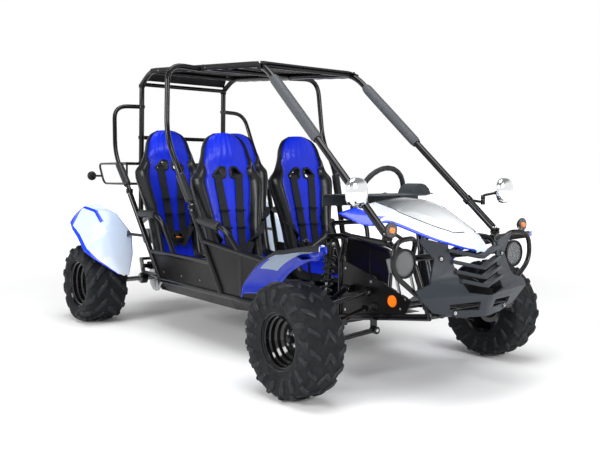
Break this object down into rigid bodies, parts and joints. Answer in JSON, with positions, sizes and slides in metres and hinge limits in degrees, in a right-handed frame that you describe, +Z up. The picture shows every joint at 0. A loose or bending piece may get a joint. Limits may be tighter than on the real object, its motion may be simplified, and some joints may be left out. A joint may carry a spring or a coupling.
{
  "type": "off-road go kart",
  "caption": "Off-road go kart with bucket seats in two rows, a roll cage under a cloth roof, sprung suspension, rack steering and a chain-driven rear axle.",
  "frame": {"origin": "on the ground, in the middle of the kart's box", "axes": "+X forward, +Y to the driver's left, +Z up"},
  "size_m": [2.898, 1.5106, 1.5295],
  "materials": {
    "black_frame_paint": "gloss black powder coat",
    "spring_steel": "black enamel",
    "canopy_cloth": "matt woven black",
    "seat_vinyl": "blue and black grained vinyl",
    "hood_plastic": "gloss white with blue edges",
    "grey_plastic": "grained grey",
    "slate_plastic": "satin slate grey",
    "blue_plastic": "gloss blue",
    "fender_plastic": "gloss white with a blue rim",
    "lamp_glass": "clear lens in a black ring",
    "chrome_shell": "polished",
    "tyre_rubber": "dark rubber",
    "rim_steel": "gloss black",
    "grip_foam": "soft black grip",
    "bare_steel": "machined",
    "cast_alloy": "as cast",
    "pedal_alloy": "brushed",
    "lever_paint": "gloss black with a black knob"
  },
  "bodies": {
    "chassis": {"floor_frame": "black_frame_paint", "side_frame_right": "black_frame_paint", "side_frame_left": "black_frame_paint", "front_frame": "black_frame_paint", "rear_frame": "black_frame_paint", "roof_cage": "black_frame_paint", "canopy": "canopy_cloth", "seat_rear_right": "seat_vinyl", "seat_rear_left": "seat_vinyl", "hood": "hood_plastic", "dash": "grey_plastic", "bumper": "slate_plastic", "headlamp_right": "lamp_glass", "headlamp_left": "lamp_glass", "cargo_rack": "black_frame_paint", "front_fender_right": "blue_plastic", "front_fender_left": "blue_plastic", "rear_fender_right": "fender_plastic", "rear_fender_left": "fender_plastic"},
    "front_seat_right": {"seat_front_right": "seat_vinyl"},
    "front_seat_left": {"seat_front_left": "seat_vinyl"},
    "wheel_and_column": {"steering_wheel": "grip_foam"},
    "lower_column": {"steering_shaft": "bare_steel"},
    "rack_bar": {"steering_rack": "bare_steel"},
    "engine_cradle": {"swingarm": "black_frame_paint", "engine": "cast_alloy", "chain": "bare_steel"},
    "rear_wheelset": {"rear_axle": "bare_steel", "rear_rim_right": "rim_steel", "rear_rim_left": "rim_steel", "rear_tyre_right": "tyre_rubber", "rear_tyre_left": "tyre_rubber"},
    "engine_sprocket": {"drive_sprocket": "bare_steel"},
    "rear_damper_body": {"rear_shock_body": "black_frame_paint"},
    "rear_damper_rod": {"rear_shock_rod": "bare_steel"},
    "throttle": {"throttle_pedal": "pedal_alloy"},
    "brake": {"brake_pedal": "pedal_alloy"},
    "shifter": {"gear_lever": "lever_paint"},
    "mirror_head_right": {"mirror_right": "chrome_shell"},
    "mirror_head_left": {"mirror_left": "chrome_shell"},
    "lower_arm_right": {"lower_arm_right": "black_frame_paint"},
    "upper_arm_right": {"upper_arm_right": "black_frame_paint"},
    "upright_right": {"upright_right": "black_frame_paint"},
    "knuckle_right": {"knuckle_right": "bare_steel"},
    "front_wheel_right": {"front_rim_right": "rim_steel", "front_tyre_right": "tyre_rubber"},
    "tie_rod_right": {"tie_rod_right": "black_frame_paint"},
    "damper_body_right": {"shock_body_right": "black_frame_paint", "shock_spring_right": "spring_steel"},
    "damper_rod_right": {"shock_rod_right": "bare_steel"},
    "lower_arm_left": {"lower_arm_left": "black_frame_paint"},
    "upper_arm_left": {"upper_arm_left": "black_frame_paint"},
    "upright_left": {"upright_left": "black_frame_paint"},
    "knuckle_left": {"knuckle_left": "bare_steel"},
    "front_wheel_left": {"front_rim_left": "rim_steel", "front_tyre_left": "tyre_rubber"},
    "tie_rod_left": {"tie_rod_left": "black_frame_paint"},
    "damper_body_left": {"shock_body_left": "black_frame_paint", "shock_spring_left": "spring_steel"},
    "damper_rod_left": {"shock_rod_left": "bare_steel"}
  },
  "joints": [
    {"name": "steering_wheel_turn", "type": "hinge", "parent": "chassis", "child": "wheel_and_column", "pos_m": [0.583, 0.225, 0.778], "axis": [0.9397, 0, -0.342], "range_deg": [-130, 130]},
    {"name": "steering_shaft_turn", "type": "hinge", "parent": "chassis", "child": "lower_column", "pos_m": [0.849, 0.225, 0.68118], "axis": [0.5177, -0.3157, -0.7952], "range_deg": [-131, 131]},
    {"name": "rack_slide", "type": "slide", "parent": "chassis", "child": "rack_bar", "axis": [0, 1, 0], "range_m": [-0.0362, 0.0362]},
    {"name": "lower_arm_right_swing", "type": "hinge", "parent": "chassis", "child": "lower_arm_right", "pos_m": [0.969, -0.278, 0.25], "axis": [-1, 0, 0], "range_deg": [-8, 8], "stiffness_Nm_per_rad": 1500, "springref_deg": -8.59},
    {"name": "upper_arm_right_swing", "type": "hinge", "parent": "chassis", "child": "upper_arm_right", "pos_m": [0.969, -0.278, 0.4], "axis": [-1, 0, 0], "range_deg": [-8.1, 8.1]},
    {"name": "upright_right_level", "type": "hinge", "parent": "lower_arm_right", "child": "upright_right", "pos_m": [0.969, -0.48, 0.195], "axis": [-1, 0, 0], "range_deg": [-8.1, 8.1]},
    {"name": "kingpin_right", "type": "hinge", "parent": "upright_right", "child": "knuckle_right", "pos_m": [0.969, -0.5095, 0.27], "axis": [0, 0, 1], "range_deg": [-25.2, 25.2]},
    {"name": "front_wheel_right_spin", "type": "hinge", "parent": "knuckle_right", "child": "front_wheel_right", "pos_m": [0.969, -0.609, 0.235], "axis": [0, 1, 0], "continuous": true},
    {"name": "tie_rod_right_swing", "type": "hinge", "parent": "rack_bar", "child": "tie_rod_right", "pos_m": [1.054, -0.3075, 0.3403], "axis": [-1, 0, 0], "range_deg": [-8.1, 8.1]},
    {"name": "damper_right_swing", "type": "hinge", "parent": "chassis", "child": "damper_body_right", "pos_m": [0.878, -0.345, 0.592], "axis": [-1, 0, 0], "range_deg": [-0.2, 0.2]},
    {"name": "damper_right_slide", "type": "slide", "parent": "damper_body_right", "child": "damper_rod_right", "axis": [0, -0.1225, -0.9925], "range_m": [-0.0153, 0.0153], "deforming": ["shock_spring_right"]},
    {"name": "lower_arm_left_swing", "type": "hinge", "parent": "chassis", "child": "lower_arm_left", "pos_m": [0.969, 0.278, 0.25], "axis": [1, 0, 0], "range_deg": [-8, 8], "stiffness_Nm_per_rad": 1500, "springref_deg": -8.59},
    {"name": "upper_arm_left_swing", "type": "hinge", "parent": "chassis", "child": "upper_arm_left", "pos_m": [0.969, 0.278, 0.4], "axis": [1, 0, 0], "range_deg": [-8.1, 8.1]},
    {"name": "upright_left_level", "type": "hinge", "parent": "lower_arm_left", "child": "upright_left", "pos_m": [0.969, 0.48, 0.195], "axis": [1, 0, 0], "range_deg": [-8.1, 8.1]},
    {"name": "kingpin_left", "type": "hinge", "parent": "upright_left", "child": "knuckle_left", "pos_m": [0.969, 0.5095, 0.27], "axis": [0, 0, 1], "range_deg": [-25.2, 25.2]},
    {"name": "front_wheel_left_spin", "type": "hinge", "parent": "knuckle_left", "child": "front_wheel_left", "pos_m": [0.969, 0.609, 0.235], "axis": [0, 1, 0], "continuous": true},
    {"name": "tie_rod_left_swing", "type": "hinge", "parent": "rack_bar", "child": "tie_rod_left", "pos_m": [1.054, 0.3075, 0.3403], "axis": [1, 0, 0], "range_deg": [-8.1, 8.1]},
    {"name": "damper_left_swing", "type": "hinge", "parent": "chassis", "child": "damper_body_left", "pos_m": [0.878, 0.345, 0.592], "axis": [1, 0, 0], "range_deg": [-0.2, 0.2]},
    {"name": "damper_left_slide", "type": "slide", "parent": "damper_body_left", "child": "damper_rod_left", "axis": [0, 0.1225, -0.9925], "range_m": [-0.0153, 0.0153], "deforming": ["shock_spring_left"]},
    {"name": "rear_swingarm", "type": "hinge", "parent": "chassis", "child": "engine_cradle", "pos_m": [-0.721, 0, 0.25], "axis": [0, 1, 0], "range_deg": [-5, 5], "stiffness_Nm_per_rad": 9000, "springref_deg": -6.88},
    {"name": "axle_spin", "type": "hinge", "parent": "engine_cradle", "child": "rear_wheelset", "pos_m": [-1.011, 0, 0.2305], "axis": [0, 1, 0], "continuous": true},
    {"name": "engine_sprocket_spin", "type": "hinge", "parent": "engine_cradle", "child": "engine_sprocket", "pos_m": [-0.87061, 0.19, 0.37089], "axis": [0, 1, 0], "continuous": true},
    {"name": "rear_damper_swing", "type": "hinge", "parent": "chassis", "child": "rear_damper_body", "pos_m": [-0.867, 0, 0.628], "axis": [0, 1, 0], "range_deg": [-0.85, 0.85]},
    {"name": "rear_damper_slide", "type": "slide", "parent": "rear_damper_body", "child": "rear_damper_rod", "axis": [0.1472, 0, -0.9891], "range_m": [-0.0079, 0.0079]},
    {"name": "throttle_press", "type": "hinge", "parent": "chassis", "child": "throttle", "pos_m": [0.859, 0.1, 0.3], "axis": [0, 1, 0], "range_deg": [0, 20], "stiffness_Nm_per_rad": 3, "springref_deg": -40.11},
    {"name": "brake_press", "type": "hinge", "parent": "chassis", "child": "brake", "pos_m": [0.859, 0.196, 0.3], "axis": [0, 1, 0], "range_deg": [0, 16], "stiffness_Nm_per_rad": 6, "springref_deg": -34.38},
    {"name": "gear_shift", "type": "hinge", "parent": "chassis", "child": "shifter", "pos_m": [0.329, 0, 0.246], "axis": [0, 1, 0], "range_deg": [-10, 22]},
    {"name": "mirror_right_turn", "type": "hinge", "parent": "chassis", "child": "mirror_head_right", "pos_m": [1.099, -0.374, 0.772], "axis": [0, 0, 1], "range_deg": [-20, 20]},
    {"name": "seat_right_slide", "type": "slide", "parent": "chassis", "child": "front_seat_right", "axis": [1, 0, 0], "range_m": [-0.06, 0.03]},
    {"name": "mirror_left_turn", "type": "hinge", "parent": "chassis", "child": "mirror_head_left", "pos_m": [1.099, 0.374, 0.772], "axis": [0, 0, 1], "range_deg": [-20, 20]},
    {"name": "seat_left_slide", "type": "slide", "parent": "chassis", "child": "front_seat_left", "axis": [1, 0, 0], "range_m": [-0.06, 0.03]}
  ],
  "couplings": [
    {"joint": "steering_shaft_turn", "follows": "steering_wheel_turn", "ratio": 1},
    {"joint": "rack_slide", "follows": "steering_wheel_turn", "m_per_rad": -0.01583},
    {"joint": "upper_arm_right_swing", "follows": "lower_arm_right_swing", "ratio": 1},
    {"joint": "upright_right_level", "follows": "lower_arm_right_swing", "ratio": -1},
    {"joint": "tie_rod_right_swing", "follows": "lower_arm_right_swing", "ratio": 1},
    {"joint": "damper_right_swing", "follows": "lower_arm_right_swing", "ratio": -0.0146},
    {"joint": "damper_right_slide", "follows": "lower_arm_right_swing", "m_per_rad": -0.1079},
    {"joint": "kingpin_right", "follows": "steering_wheel_turn", "ratio": -0.19231},
    {"joint": "upper_arm_left_swing", "follows": "lower_arm_left_swing", "ratio": 1},
    {"joint": "upright_left_level", "follows": "lower_arm_left_swing", "ratio": -1},
    {"joint": "tie_rod_left_swing", "follows": "lower_arm_left_swing", "ratio": 1},
    {"joint": "damper_left_swing", "follows": "lower_arm_left_swing", "ratio": -0.0146},
    {"joint": "damper_left_slide", "follows": "lower_arm_left_swing", "m_per_rad": -0.1079},
    {"joint": "kingpin_left", "follows": "steering_wheel_turn", "ratio": -0.19231},
    {"joint": "engine_sprocket_spin", "follows": "axle_spin", "ratio": 2.4667},
    {"joint": "rear_damper_swing", "follows": "rear_swingarm", "ratio": -0.1639},
    {"joint": "rear_damper_slide", "follows": "rear_swingarm", "m_per_rad": -0.0888}
  ]
}
